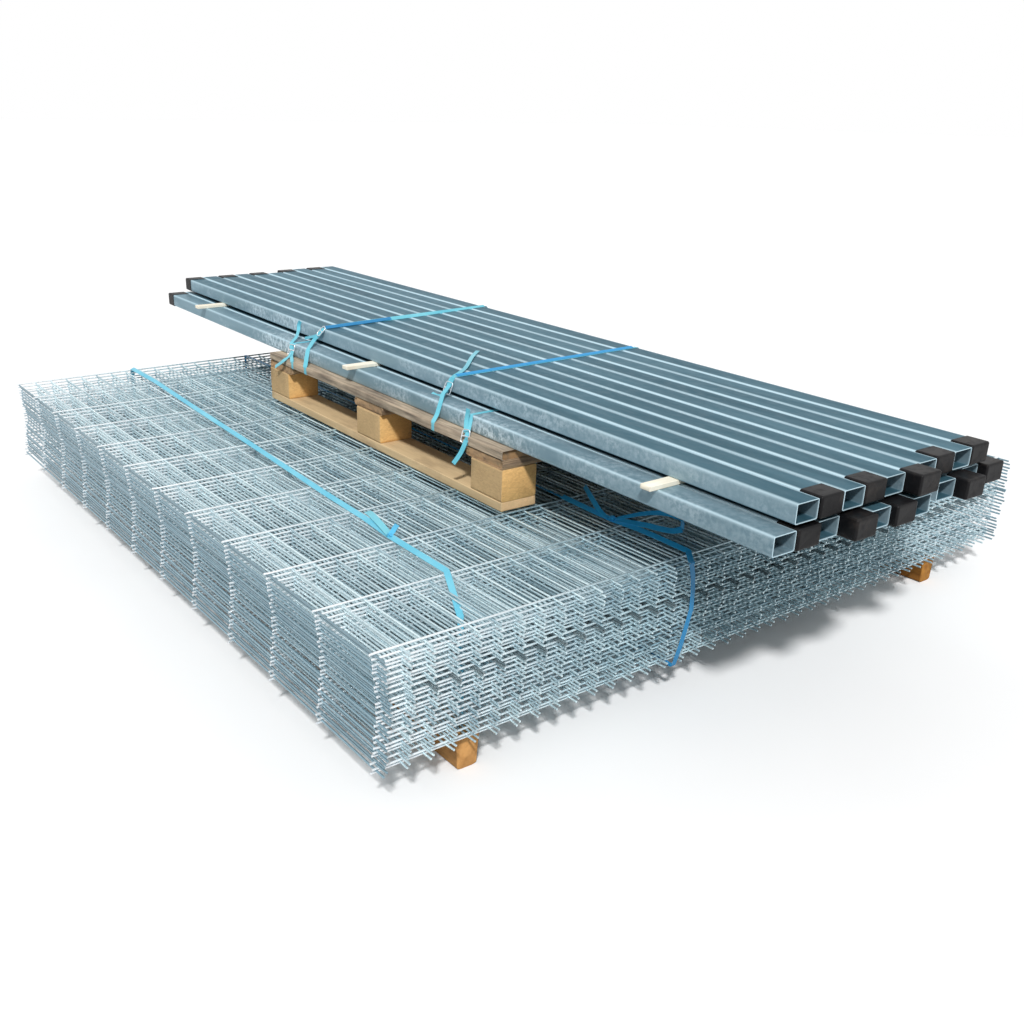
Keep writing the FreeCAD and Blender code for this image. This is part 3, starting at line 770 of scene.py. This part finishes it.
# %% Bearers
for node, wood in (("bearer_near", bearer_wood), ("bearer_far", shaded_far_bearer_wood)):
    low, high = (np.array(corner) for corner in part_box(node))
    corner = (np.array([high[0], low[1], low[2]]) - MESH_ORIGIN) / MM
    length, width, height = (high - low) / MM
    part = plank(corner, length, width, height, radius=3.0, rough=1.0, ragged=1.5, wane=19)
    joined(node + "_timber", [part], "end", wood, node)

# %% Laths
LATHS = ((2211, 35), (1142, 14), (-25, 3))
LATH_WIDTH, LATH_LENGTH, LATH_THICK = 28, 790, 10
LATH_BOTTOM = LOWER["bottom"] + POST_HEIGHT / MM
laths = [across_plank((-back + LATH_WIDTH / 2, PALLET_CORNER[1] + inset, LATH_BOTTOM),
                      LATH_LENGTH, LATH_WIDTH, LATH_THICK, radius=1.2, rough=0.5, ragged=1.0)
         for back, inset in LATHS]
joined("laths_between_layers", laths, "end", lath_wood, "spacer_laths")

# %% [markdown]
# ## Straps
#
# The straps are flat blue plastic, 8 to 15 mm wide, under a millimetre thick. Each is a
# ribbon: a thin rectangle carried along a path, with its flat side facing a given way at
# each point. A slack path is a Catmull-Rom curve, which passes through its points. One
# value says how blue a strap is: pale at 0, full blue at 1, and dark blue at 2. Small values
# are the straps' own colours; values near and above 1 are painted shade, set on parts that
# lie in shade or show their shaded side.

# %% Strap finish
strap = Finish("band_plastic")
strap_weave = strap.noise(420.0, 2.0, low=0.3, high=0.7)
strap_cloud = strap.noise(8.0, 3.0)
strap_pale = strap.mix(strap_cloud * 0.6 + strap_weave * 0.3,
                       (0.09, 0.45, 0.58), (0.23, 0.62, 0.71))
# Small values keep the straps' own pale colours; towards 1 the blue is painted shade.
strap_blue = strap.mix(strap.value("deep"), strap_pale, (0.02, 0.42, 0.86))
# Above 1, painted shade: dark blue for straps in shade or showing their shaded side.
strap_tone = strap.mix(strap.value("deep") - 1.0, strap_blue, (0.011, 0.13, 0.3))
strap_finish = strap.finish(strap_tone, strap_weave * 0.1 + 0.36, strap_weave, depth=0.0002)

# %% Ribbons
BAND_WIDTH, BAND_THICK = 11.5 * MM, 0.8 * MM
STEP = 9 * MM
TIGHT_CORNER = 4
NEAR, FRONT, BACK, FAR, DOWN = (0, -1, 0), (1, 0, 0), (-1, 0, 0), (0, 1, 0), (0, 0, -1)


def smooth_path(points):
    """Catmull-Rom through points, resampled to even steps.

    Between b and c, with neighbours a and d, at t from 0 to 1:
    (2b + (c - a) t + (2a - 5b + 4c - d) t^2 + (3b - a - 3c + d) t^3) / 2.
    """
    before, after = 2 * points[:1] - points[1:2], 2 * points[-1:] - points[-2:-1]
    padded = np.concatenate([before, points, after])
    a, b, c, d = (padded[k:len(padded) - 3 + k, None] for k in range(4))
    t = np.linspace(0, 1, 24, endpoint=False)[None, :, None]
    curve = (2 * b + (c - a) * t + (2 * a - 5 * b + 4 * c - d) * t ** 2
             + (3 * b - a - 3 * c + d) * t ** 3) / 2
    curve = np.concatenate([curve.reshape(-1, points.shape[1]), points[-1:]])
    steps = np.linalg.norm(np.diff(curve[:, :3], axis=0), axis=1)
    reach = np.concatenate([[0], np.cumsum(steps)])
    even = np.linspace(0, reach[-1], max(4, int(reach[-1] / STEP) + 1))
    return np.stack([np.interp(even, reach, column) for column in curve.T], axis=-1)


def ribbon(route, width=BAND_WIDTH, straight=False, deep=0.0):
    """A strap along rows of (along, across, above, and the way its flat side faces)."""
    route = np.asarray(route, float)
    path = np.concatenate([spot(route[:, :3]), route[:, 3:]], axis=1)
    path = path if straight else smooth_path(path)
    middle, facing = path[:, :3], path[:, 3:]
    run = np.gradient(middle, axis=0)
    run /= np.linalg.norm(run, axis=1, keepdims=True)
    side = np.cross(run, facing)
    side /= np.linalg.norm(side, axis=1, keepdims=True)
    out = np.cross(side, run)
    corners = np.array([[-1, 0], [-0.93, 1], [0.93, 1], [1, 0]]) * (width / 2, BAND_THICK)
    grid = (middle[:, None] + corners[None, :, :1] * side[:, None]
            + corners[None, :, 1:] * out[:, None])
    return grid.reshape(-1, 3), loft(grid), np.full(grid[..., 0].size, deep)


def band(points, deep=0.0, width=BAND_WIDTH):
    """A taut strap: straight runs, and a short bend where it turns to face another way.

    Each row is (along, across, above, facing after this point). A bend at p, with unit
    steps back and ahead, runs through p + corner * (back * (1 - t)^2 + ahead * t^2), t from
    0 to 1. Where the strap runs straight on it only twists, from the last way to this one.
    """
    points = [(np.array(p[:3], float), np.array(p[3], float)) for p in points]
    rows = [(*points[0][0], *points[0][1])]
    for (last, before), (place, way), (following, _) in zip(points, points[1:], points[2:]):
        back, ahead = last - place, following - place
        back /= np.linalg.norm(back)
        ahead /= np.linalg.norm(ahead)
        if np.allclose(before, way) or back @ ahead < -0.9:
            rows.append((*place, *way))
            continue
        for t in np.linspace(0, 1, 5):
            bend = place + TIGHT_CORNER * (back * (1 - t) ** 2 + ahead * t ** 2)
            rows.append((*bend, *(before * (1 - t) + way * t)))
    rows.append((*points[-1][0], *points[-2][1]))
    return ribbon(rows, width, straight=True, deep=deep)


# %% [markdown]
# Two straps go up the near side of the lower posts and vanish between the layers. The
# other two go on over the upper posts. Each strap's points on the near side, where it is
# seen, are given one by one, from the top edge down to the deck.

# %% Straps round the posts
LOWER_TOP, UPPER_TOP = LOWER["strap_top"], UPPER["strap_top"]
DECK_TOP, DECK_UNDER = 144, 121.6


def far_side(layer, along):
    """Across, in millimetres, of a layer's far side at a place along the pack."""
    near = layer["near"] + (POST_OVERHANG - along) * np.tan(np.radians(layer["skew"]))
    return near + (len(layer["slips"]) - 1) * layer["pitch"] + POST_WIDTH / MM + 1


def deck_far(along):
    return on_pallet(PALLET_CORNER[0] - along, PALLET_WIDTH, 0)[1] + 1


def round_posts(over, layer, near_side, width=BAND_WIDTH):
    """A strap over a layer, down the near side by its own points, and back under the deck.

    `over` lists places along the pack: at the far top edge, and under the deck's far edge.
    """
    far_top, far_low = over
    along, near = near_side[-1][:2]
    join_under = (along - 3, near + 300, DECK_UNDER, DOWN)
    return band([
        join_under, (along, near, DECK_UNDER, NEAR), *reversed(near_side),
        (far_top, far_side(layer, far_top), layer["strap_top"], FAR),
        (far_low, deck_far(far_low), DECK_TOP, FAR),
        (far_low, deck_far(far_low), DECK_UNDER, DOWN), join_under,
    ], width=width)


LEAN = (0.45, -0.72, 0.53)
STEEP = (0.45, -0.87, 0.2)
TWIST = (0.62, 0, 0.78)
TILTED = (0.4, 0, 0.92)
straps = {}
straps["strap_posts_rear_layer"] = ("layer_band_rear", [
    round_posts((-1521, -1448), LOWER, [
        (-1515, 646.5, LOWER_TOP, UP), (-1514, 642, 165, STEEP), (-1494, 627, 152, LEAN),
        (-1458, 611, DECK_TOP, LEAN),
    ]),
    ribbon([
        (-1514, 639, 166, *STEEP), (-1522, 643, 184, 0.5, -0.8, 0.3),
        (-1546, 672, 195, 0.6, -0.7, 0.4), (-1582, 700, 208, 0.7, -0.7, 0.1),
        (-1588, 705, 224, 0.7, -0.7, 0), (-1577, 705, 236, 0.7, -0.7, 0.1),
    ]),
    ribbon([
        (-1512, 640, 162, *STEEP), (-1499, 620, 150, 0.1, -0.8, 0.6),
        (-1500, 605, 141, 0.2, -0.8, 0.5), (-1516, 600, 129, 0.2, -0.8, 0.5),
        (-1542, 596, 114, 0.2, -0.8, 0.5),
    ]),
])
straps["strap_posts_rear_pack"] = ("pack_band_rear", [
    round_posts((-1505, -1420), UPPER, [
        (-1461, 960, UPPER_TOP + 4, TWIST), (-1441, 726, UPPER_TOP + 3, TWIST),
        (-1439, 709, 233, (0.2, -0.7, 0.7)), (-1463, 690, 201, LEAN), (-1419, 644.5, 183.5, LEAN),
        (-1397, 627, 164, LEAN), (-1375, 610, DECK_TOP, LEAN),
    ], width=14 * MM),
    # Painted shade: this run shows its shaded side, dark blue.
    band([
        (-1437, 716, UPPER_TOP + 4.5, TWIST), (-1449, 880, UPPER_TOP + 5, TWIST),
        (-1461, 960, UPPER_TOP + 5, TWIST),
    ], deep=1.75),
    ribbon([
        (-1441, 704, 222, *LEAN), (-1462, 699, 213, 0.1, -0.9, 0.4),
        (-1492, 696, 203, 0.1, -0.9, 0.4), (-1534, 696, 192, 0.1, -1, 0.3),
    ], width=9 * MM),
])
straps["strap_posts_middle_pack"] = ("pack_band_middle", [
    round_posts((-760, -735), UPPER, [
        (-744, 692, UPPER_TOP, UP), (-752, 686, 212, STEEP), (-735, 655, 199, LEAN),
        (-711, 632, 188, LEAN), (-707, 618, 158, STEEP), (-697, 599, DECK_TOP, LEAN),
    ]),
    # Painted shade: this run over the posts is dark blue.
    band([
        (-744.5, 702, UPPER_TOP + 3, TILTED), (-752, 1000, UPPER_TOP + 3, TILTED),
        (-759, 1322, UPPER_TOP + 3, TILTED),
    ], deep=1.5, width=10 * MM),
    ribbon([
        (-753, 684, 208, *LEAN), (-752, 692, 229, 0.3, -0.6, 0.7),
        (-764, 726, 237, 0.3, -0.3, 0.9), (-806, 776, 237, 0.3, -0.3, 0.9),
        (-893, 859, 237, 0.3, -0.3, 0.9), (-946, 917, 237, 0.3, -0.3, 0.9),
    ]),
    ribbon([
        (-750, 681, 200, *LEAN), (-756, 670, 190, 0, -0.8, 0.6), (-776, 668, 183, 0, -0.7, 0.7),
        (-800, 667, 185, 0, -0.5, 0.9),
    ], width=8 * MM),
])
straps["strap_posts_middle_layer"] = ("layer_band_middle", [
    round_posts((-589, -584), LOWER, [
        (-585, 630.5, LOWER_TOP, UP), (-575, 623, 172, STEEP), (-561, 606, 152, STEEP),
        (-555, 597, DECK_TOP, STEEP),
    ]),
    ribbon([
        (-548, 591, 138, *STEEP), (-550, 586, 122, 0.5, -0.8, 0.2),
        (-557, 580, 102, 0.5, -0.8, 0.3), (-568, 570, 79, 0.5, -0.8, 0.3),
    ]),
    ribbon([
        (-566, 603, 150, *STEEP), (-582, 616, 172, 0.4, -0.9, 0.3),
        (-582, 619, 188, 0.4, -0.9, 0.1), (-579, 619, 202, 0.4, -0.9, 0),
    ]),
])

# %% [markdown]
# ## Straps round the stack, a knot and a bow
#
# Two straps go round the panels. The near one dives into the mesh before it reaches the
# front, and is knotted. The other passes over the prongs, and is tied on top in a bow; its
# deeper blue is painted shade, for the shade it lies in under the posts.

# %% Straps round the stack
PANEL_THICK = 9.2
STACK_UNDER = -len(turned_over) * PANEL_THICK - 0.2
BACK_FACE, PRONG_FACE = -2206.5, 34
ON_MESH, TILT = 3.4, (0.1, -0.4, 0.92)
STACK_BAND = 14 * MM
BOW, KNOT = (-228, 768), (-425, 303)
# The bow strap's blue is painted shade, for the shade under the posts.
BOW_SHADE_BLUE = 0.9


def over_mesh(*places):
    """Rows for a strap that lies on the mesh, a little tilted, from its places there."""
    return [(*place, ON_MESH, TILT) for place in places]


def knot(centre, size, turn, deep):
    """A small tied lump: three short loops wrapped round each other at angles."""
    parts = []
    for lean, share in ((0.0, 1.0), (1.1, 0.85), (2.2, 0.8)):
        t = np.linspace(0, 2 * np.pi, 13)[:, None]
        way = np.array([np.cos(turn + lean), np.sin(turn + lean), 0])
        ring = centre + np.cos(t) * size * share * way + (np.sin(t) * 0.55 + 0.5) * size * UP
        facing = np.cos(t) * way + np.sin(t) * UP
        parts.append(ribbon(np.concatenate([ring, facing], axis=1), width=9 * MM, deep=deep))
    return parts


straps["strap_panels_near"] = ("panel_band_near", [
    band([
        (-1100, 340, STACK_UNDER, DOWN), (BACK_FACE, 380, STACK_UNDER, BACK),
        *over_mesh((BACK_FACE, 380), (-1985, 379), (-1590, 359), (-1266, 345), (-986, 331),
                   (-744, 319), (-550, 313), KNOT),
        (-207, 299, ON_MESH, (0.25, -0.1, 1)), (-80, 243, -31, FRONT),
        (-40, 218, STACK_UNDER, DOWN), (-1100, 340, STACK_UNDER, DOWN),
    ], deep=0.15, width=STACK_BAND),
    ribbon([
        (*KNOT, 5, *UP), (-457, 309, 9, 0, -0.3, 1), (-500, 317, 12, 0, -0.4, 1),
        (-540, 326, 12, 0, -0.4, 1), (-566, 332, 8, 0, -0.2, 1),
    ], width=15 * MM),
    ribbon([
        (*KNOT, 5, *UP), (-428, 312, 10, 0.5, 0, 0.9), (-437, 324, 14, 0.6, 0, 0.8),
        (-446, 335, 15, 0.6, 0, 0.8),
    ], deep=0.5),
    *knot((*KNOT, 1), 8, 0.3, 0.5),
])
straps["strap_panels_middle"] = ("panel_band_middle", [
    # Painted shade on the run under and behind the stack.
    band([
        (-1200, 790, STACK_UNDER, DOWN), (BACK_FACE, 800, STACK_UNDER, BACK),
        (BACK_FACE, 800, 0.8, UP), (-1200, 796, 0.8, UP), (-410, 777, 0.8, UP), (-380, 776, 2, UP),
    ], deep=1.0, width=8 * MM),
    band([
        *over_mesh((-410, 777), (-305, 772)), (*BOW, 5, TILT), *over_mesh((-154, 779), (-108, 780)),
        (-8, 778, ON_MESH, (0.6, -0.3, 0.8)), (PRONG_FACE, 745, -1, FRONT),
    ], deep=BOW_SHADE_BLUE, width=STACK_BAND),
    # Painted shade: the drop down the front is dark blue.
    band([
        *[(PRONG_FACE, across, above, FRONT) for across, above in (
            (744, 0), (752, -30), (757, -67), (758, -108), (747, -150), (736, -190),
        )],
        (PRONG_FACE - 8, 728, STACK_UNDER, DOWN), (-1200, 790, STACK_UNDER, DOWN),
    ], deep=1.6, width=13 * MM),
    ribbon([
        (-236, 762, 8, *UP), (-262, 762, 15, 0, -0.5, 1), (-315, 785, 24, 0.2, -0.7, 0.7),
        (-345, 800, 28, 0.3, -0.8, 0.6), (-385, 824, 27, 0.3, -0.9, 0.4),
    ], deep=BOW_SHADE_BLUE),
    ribbon([
        (-222, 770, 8, 0, -0.3, 1), (-198, 798, 18, 0, -0.6, 0.8), (-180, 820, 24, 0.1, -0.7, 0.7),
        (-158, 846, 27, 0.3, -0.7, 0.6), (-125, 858, 28, 0.7, -0.5, 0.5),
        (-98, 853, 24, 0.9, -0.1, 0.4), (-84, 838, 16, 0.8, 0.1, 0.6),
    ], deep=BOW_SHADE_BLUE),
    ribbon([
        (-222, 770, 7, 0, -0.4, 1), (-196, 778, 9, 0, -0.4, 1), (-150, 796, 11, 0, -0.5, 0.9),
        (-112, 806, 12, 0.2, -0.5, 0.9), (-90, 820, 12, 0.4, -0.4, 0.9),
        (-84, 838, 14, 0.7, -0.2, 0.7),
    ], width=15 * MM, deep=BOW_SHADE_BLUE),
    *knot((*BOW, 3), 10, 0.9, BOW_SHADE_BLUE),
])

for name, (node, parts) in straps.items():
    joined(name, parts, "deep", strap_finish, node)
print(len(straps), "straps")

# %% [markdown]
# ## Wire buckles
#
# Each strap round the posts is pulled tight through a small buckle of bent steel wire: a
# closed frame with rounded corners and one bar across its middle.

# %% Buckles
buckle_steel = Finish("buckle_steel")
buckle_cloud = buckle_steel.noise(120.0, 2.0)
buckle_finish = buckle_steel.finish(
    buckle_steel.mix(buckle_cloud, (0.74, 0.76, 0.78), (0.86, 0.88, 0.9)), 0.3, Metallic=0.7,
)
BUCKLES = (
    ((-1514, 638, 166), (-0.05, 0.3, 1.0), STEEP),
    ((-1444, 704, 228), (0.35, 0.6, 0.75), (0, -0.8, 0.6)),
    ((-752, 682, 206), (0.1, 0.35, 1.0), LEAN),
    ((-557, 596, 144), (-0.1, 0.3, 1.0), STEEP),
)


def buckle_parts(centre, lengthwise, facing, length=32, width=20, wire_size=1.5):
    """A rounded frame of wire and its middle bar, in the plane across `facing`.

    The frame runs through width / 2 * |cos t|^0.45 and length / 2 * |sin t|^0.45, each with
    the sign of its own cosine or sine, t from 0 to 2 pi.
    """
    length_way = np.array(lengthwise) / np.linalg.norm(lengthwise)
    width_way = np.cross(length_way, facing)
    width_way /= np.linalg.norm(width_way)
    turn = np.linspace(0, 2 * np.pi, 25)
    x, y = (np.sign(wave) * np.abs(wave) ** 0.45 / 2 for wave in (np.cos(turn), np.sin(turn)))
    loop = centre + x[:, None] * width * width_way + y[:, None] * length * length_way
    bar = centre + np.array([-0.5, -0.2, 0.2, 0.5])[:, None] * width * width_way
    return [tubes(spot(path)[None], wire_size * MM, 6) for path in (loop, bar)]


frames = [part for settings in BUCKLES for part in buckle_parts(*settings)]
dress(surface("wire_buckles", *join(frames)), buckle_finish, ["band_buckles"],
      smooth=60)

# %% [markdown]
# ## Floor, light and camera
#
# The floor is a pale sheet that keeps the pack's shadow. To the camera it is nearly white,
# but it throws up only as much light as bare ground does, so the gaps in the mesh stay dark.
# The sky is a soft white, and one sun lamp with a wide disc stands above the near side.

# %% Floor and sky
GROUND = (0.32, 0.32, 0.33)
floor_paint = Finish("pale_floor")
floor_pale = floor_paint.mix(floor_paint.noise(1.5, 2.0), (0.93, 0.93, 0.93), (0.95, 0.95, 0.95))
floor_finish = floor_paint.finish(floor_paint.mix(floor_paint.seen(), GROUND, floor_pale), 0.9)
FLOOR_REACH = 60.0
floor_corners = np.array([[-1, -1, 0], [1, -1, 0], [1, 1, 0], [-1, 1, 0]]) * FLOOR_REACH
floor = surface("floor", floor_corners, [np.array([[0, 1, 2, 3]])])
floor.data.materials.append(floor_finish)

SKY_LIGHT = 0.5
sky = Finish("soft_sky", "worlds")
bpy.context.scene.world = sky.owner
strength = sky.node("ShaderNodeMix", {"data_type": "FLOAT"}, {
    "Factor": sky.seen(), "A": SKY_LIGHT, "B": 1.0,
})
glow = sky.node("ShaderNodeBackground", None, {
    "Color": (1.0, 1.0, 1.0, 1.0), "Strength": strength,
})
sky.node("ShaderNodeOutputWorld", None, {"Surface": glow})

# %% Sun
SUN_WAY = np.array([0.7, -0.6, 1.0])
sun_data = bpy.data.lights.new("soft_sun", "SUN")
sun_data.energy = 2.8
sun_data.angle = np.radians(5)
sun = placed("soft_sun", sun_data)
sun.location = (0, 0, 4)
sun_lean = np.arccos(SUN_WAY[2] / np.linalg.norm(SUN_WAY))
sun.rotation_euler = (sun_lean, 0, np.arctan2(SUN_WAY[0], -SUN_WAY[1]))

# %% Camera
CAMERA_SPOT = (1367.87, -811.33, 861.95)
CAMERA_TURN = np.radians([67.9325, -1.047, 53.8079])
FOCAL_PIXELS, CENTRE_PIXELS, IMAGE_PIXELS = 1060.54, (471.453, 534.996), 1024
SENSOR = 36.0
optics = bpy.data.cameras.new("camera")
optics.sensor_fit = "HORIZONTAL"
optics.sensor_width = SENSOR
optics.lens = SENSOR * FOCAL_PIXELS / IMAGE_PIXELS
optics.shift_x = (IMAGE_PIXELS / 2 - CENTRE_PIXELS[0]) / IMAGE_PIXELS
optics.shift_y = (CENTRE_PIXELS[1] - IMAGE_PIXELS / 2) / IMAGE_PIXELS
optics.clip_start = 0.05
optics.clip_end = 200.0
camera = placed("camera", optics)
camera.location = spot(CAMERA_SPOT)
camera.rotation_euler = CAMERA_TURN
bpy.context.scene.camera = camera
bpy.context.scene.view_settings.view_transform = "Standard"
